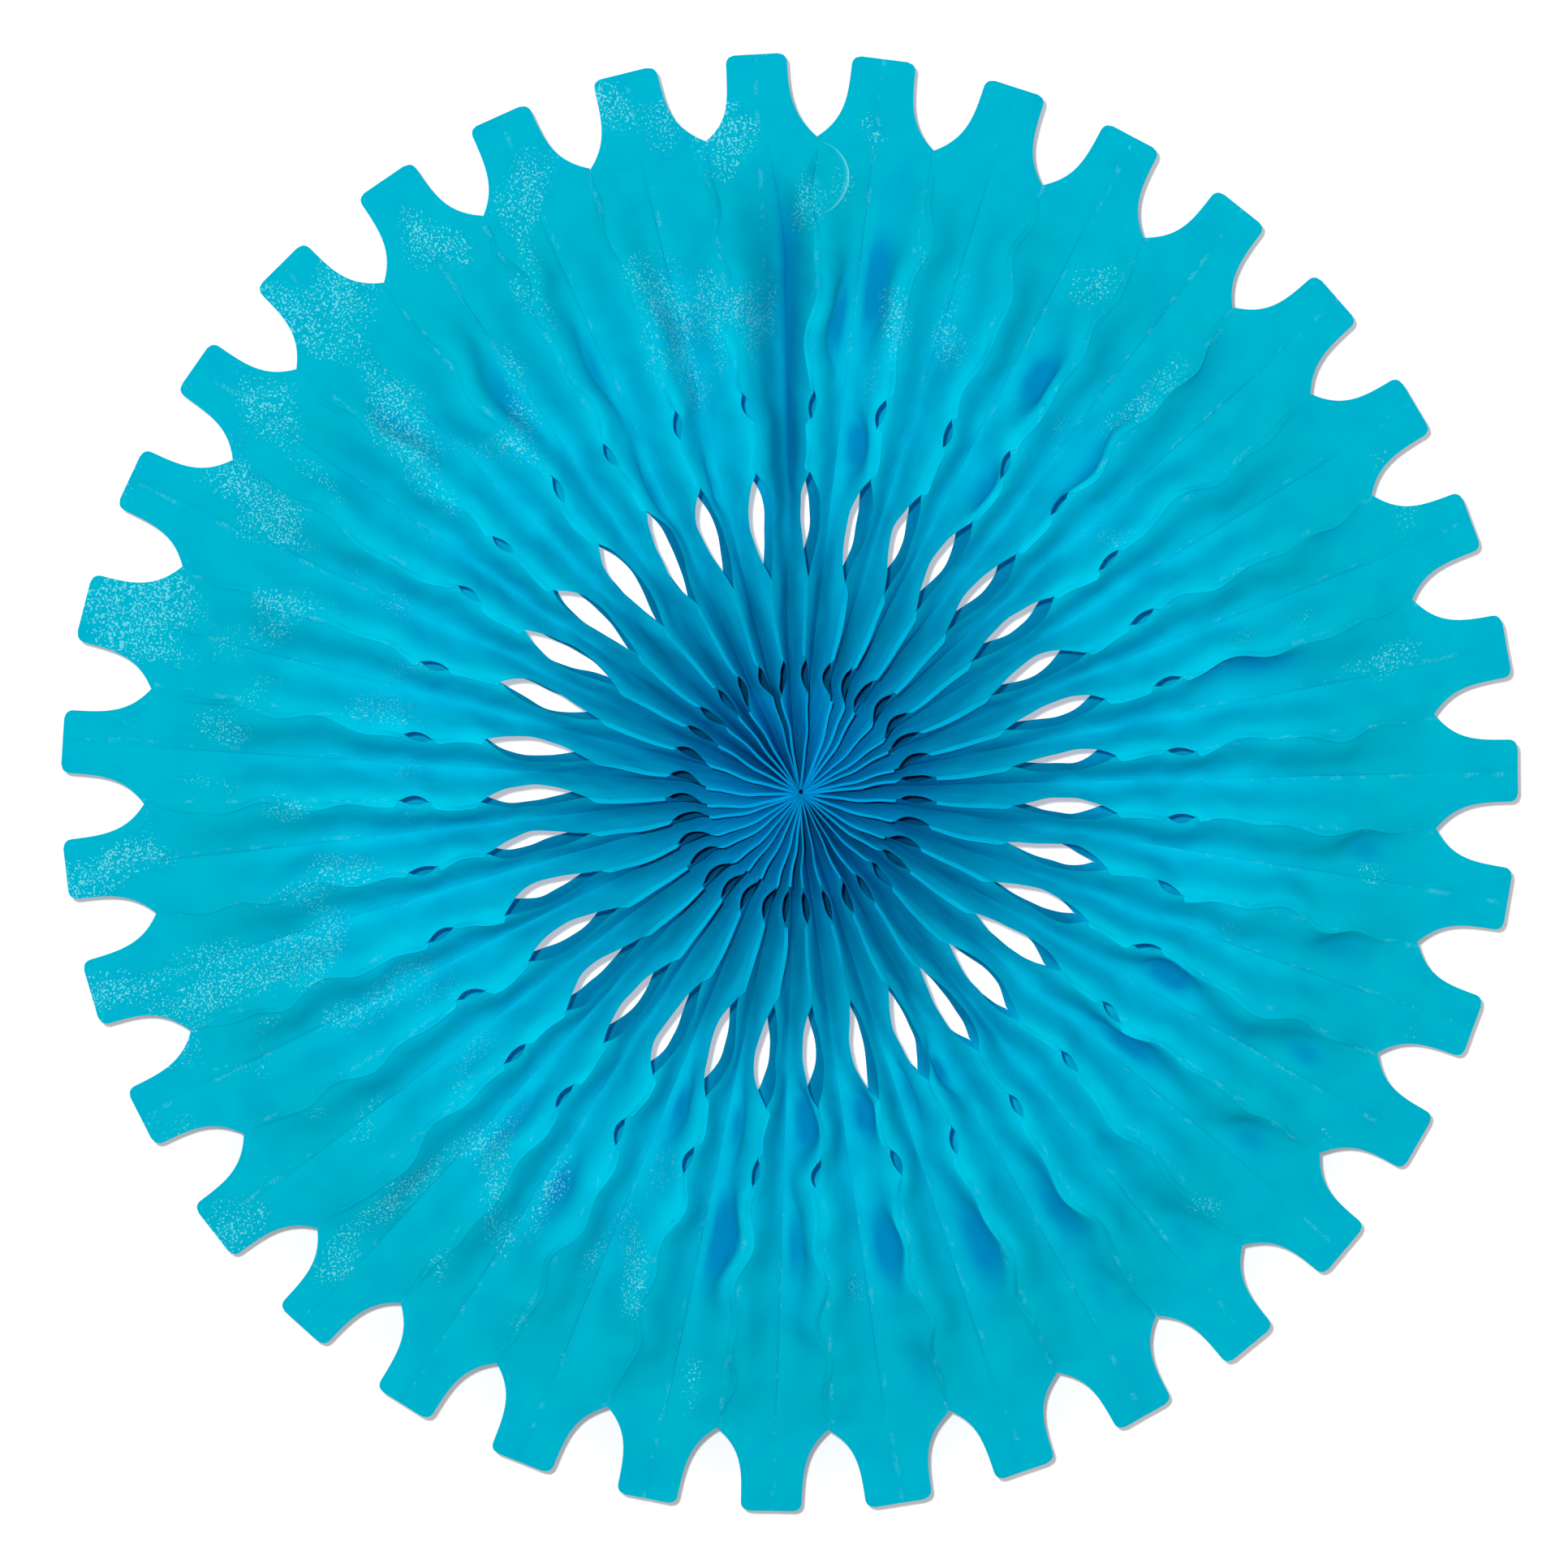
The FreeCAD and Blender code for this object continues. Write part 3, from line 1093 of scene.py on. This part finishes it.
@dataclass(frozen=True)
class Softbox:
    """A square soft light that points at the fan."""

    name: str
    place: tuple[float, float, float]
    size: float
    power: float

    def build(self) -> None:
        """Add the light."""
        light = bpy.data.lights.new(self.name, "AREA")
        light.size = self.size
        light.energy = self.power
        lamp = add_object(self.name, light)
        lamp.location = self.place
        lamp.rotation_euler = (-Vector(self.place)).to_track_quat("-Z", "Y").to_euler()


@dataclass
class Studio:
    """The camera, the soft lights and the white wall close behind the fan."""

    left_degrees: float = 5.3
    above_degrees: float = 4.0
    roll_degrees: float = 1.84
    distance: float = 3.1
    sensor_mm: float = 36.0
    photo_width: float = 681.0 * MM
    shift_right: float = 5.3 * MM
    shift_up: float = -1.6 * MM
    edge_light_beside: float = 0.125
    edge_light_size: float = 0.07
    edge_light_power: float = 86.0
    sky: float = 0.34
    wall_gap: float = 9.0 * MM
    wall_reach: float = 4.0
    wall_colour: Colour = (0.75, 0.75, 0.75, 1.0)
    wall_glow: float = 0.19
    hole_glow: float = 0.27
    hole_glow_ends: Rise = Rise(0.15, 0.2)
    glow_colour: Colour = (1.0, 0.94, 0.91, 1.0)

    def view(self) -> tuple[Vector, Quaternion]:
        """Return the camera's place, a little left of the fan and above it, and its level turn."""
        azimuth, height = math.radians(-self.left_degrees), math.radians(self.above_degrees)
        aim = Vector((-self.shift_right, 0.0, -self.shift_up))
        level, rise = math.cos(height), math.sin(height)
        away = Vector((math.sin(azimuth) * level, -math.cos(azimuth) * level, rise))
        return aim + away * self.distance, (-away).to_track_quat("-Z", "Y")

    def camera(self) -> None:
        """Add the camera."""
        place, level = self.view()
        lens = bpy.data.cameras.new("camera")
        lens.sensor_width = self.sensor_mm
        lens.lens = lens.sensor_width * self.distance / self.photo_width
        camera = add_object("camera", lens)
        camera.location = place
        roll = Quaternion((0.0, 0.0, 1.0), math.radians(self.roll_degrees))
        camera.rotation_euler = (level @ roll).to_euler()
        bpy.context.scene.camera = camera

    def edge_light(self) -> None:
        """Add the small light at the camera's upper left, for the narrow shadow behind the edges."""
        place, level = self.view()
        place = place + level @ Vector((-self.edge_light_beside, self.edge_light_beside, 0.0))
        Softbox("edge_light", tuple(place), self.edge_light_size, self.edge_light_power).build()

    def world(self) -> None:
        """Add the even white light from all around, which the camera sees as pure white."""
        world = bpy.data.worlds.new("studio")
        world.use_nodes = True
        bpy.context.scene.world = world
        bench = NodeBench(world.node_tree)
        seen = self.seen_rays(bench)
        sockets = {"Color": (1.0, 1.0, 1.0, 1.0), "Strength": seen * (1.0 - self.sky) + self.sky}
        light = bench.node("ShaderNodeBackground", {}, sockets, "Background")
        bench.surface(light, "ShaderNodeOutputWorld")

    def seen_rays(self, bench: NodeBench) -> Value:
        """Return 1 for rays from the camera, by way of a mirror or glass too, and 0 for others."""
        camera = bench.node("ShaderNodeLightPath", {}, {}, "Is Camera Ray")
        glossy = bench.node("ShaderNodeLightPath", {}, {}, "Is Glossy Ray")
        through = bench.node("ShaderNodeLightPath", {}, {}, "Is Transmission Ray")
        return bench.math("MINIMUM", camera + glossy + through, 1.0)

    def wall(self) -> None:
        """Add the white wall, seen from its front alone, which lets the light behind it through and
        glows with painted light.
        """
        material = bpy.data.materials.new("white_wall")
        material.use_nodes = True
        bench = NodeBench(material.node_tree)
        white = bench.node("ShaderNodeBsdfDiffuse", {}, {"Color": self.wall_colour}, "BSDF")
        place = bench.node("ShaderNodeTexCoord", {}, {}, "Object")
        radius = bench.node("ShaderNodeVectorMath", {"operation": "LENGTH"}, {"Vector": place}, "Value")
        # Painted light: the wall glows, more strongly behind the fan's middle so that the cuts show
        # white, and in a warm tint so that its shadows look brownish.
        glow = self.wall_glow + self.hole_glow
        far_colour = tuple(part * self.wall_glow / glow for part in self.glow_colour)
        colour = bench.mix(radius.ramp(self.hole_glow_ends), self.glow_colour, far_colour)
        painted_glow = bench.node("ShaderNodeEmission", {}, {"Color": colour, "Strength": glow}, "Emission")
        painted = bench.node("ShaderNodeAddShader", {}, {0: white, 1: painted_glow}, "Shader")
        clear = bench.node("ShaderNodeBsdfTransparent", {}, {}, "BSDF")
        behind = bench.node("ShaderNodeNewGeometry", {}, {}, "Backfacing")
        shown = self.seen_rays(bench) * (1.0 - behind)
        surface = bench.node("ShaderNodeMixShader", {}, {0: shown, 1: clear, 2: painted}, "Shader")
        bench.surface(surface, "ShaderNodeOutputMaterial")
        depth = CAD_BOX[1][1] + self.wall_gap
        sides = ((-1.0, -1.0), (1.0, -1.0), (1.0, 1.0), (-1.0, 1.0))
        corners = [(side * self.wall_reach, depth, up * self.wall_reach) for side, up in sides]
        mesh = bpy.data.meshes.new("wall")
        mesh.from_pydata(corners, [], [(0, 1, 2, 3)])
        mesh.materials.append(material)
        wall = add_object("wall", mesh)

    def build(self) -> None:
        """Add everything and set how colours are shown."""
        self.camera()
        Softbox("left_softbox", (-1.7, -1.5, 0.6), 1.0, 8.0).build()
        Softbox("right_softbox", (1.7, -1.5, 0.7), 1.0, 9.5).build()
        self.edge_light()
        self.world()
        self.wall()
        bpy.context.scene.view_settings.view_transform = "Standard"


def fan_plan() -> FanPlan:
    """Read the fan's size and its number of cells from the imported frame."""
    low, high = CAD_BOX
    cells = [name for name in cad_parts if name.startswith("cell_")]
    return FanPlan(len(cells), (high[0] - low[0]) / 2.0, (high[1] - low[1]) / 2.0)


def main() -> None:
    """Build the fan's pieces and the studio, and report each."""
    logging.basicConfig(level=logging.INFO, format="%(name)s: %(message)s")
    plan = fan_plan()
    tissue = TissueFinish("tissue", plan.cell_count).material()
    for number in range(plan.cell_count):
        piece = PaperCell(plan, number).build(tissue)
        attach(piece, "root")
        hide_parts(f"cell_{number + 1:02d}")
        LOG.info("%s: %d faces", piece.name, len(piece.data.polygons))
    tab_paper = TissueFinish("tab_tissue", plan.cell_count, colour=(0.0, 0.54, 0.70, 1.0), sheen=0.6)
    tab = ClosingTab(plan).build(tab_paper.material())
    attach(tab, "root")
    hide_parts("closing_tab")
    LOG.info("%s: %d faces", tab.name, len(tab.data.polygons))
    Studio().build()


if __name__ == "__main__":
    main()
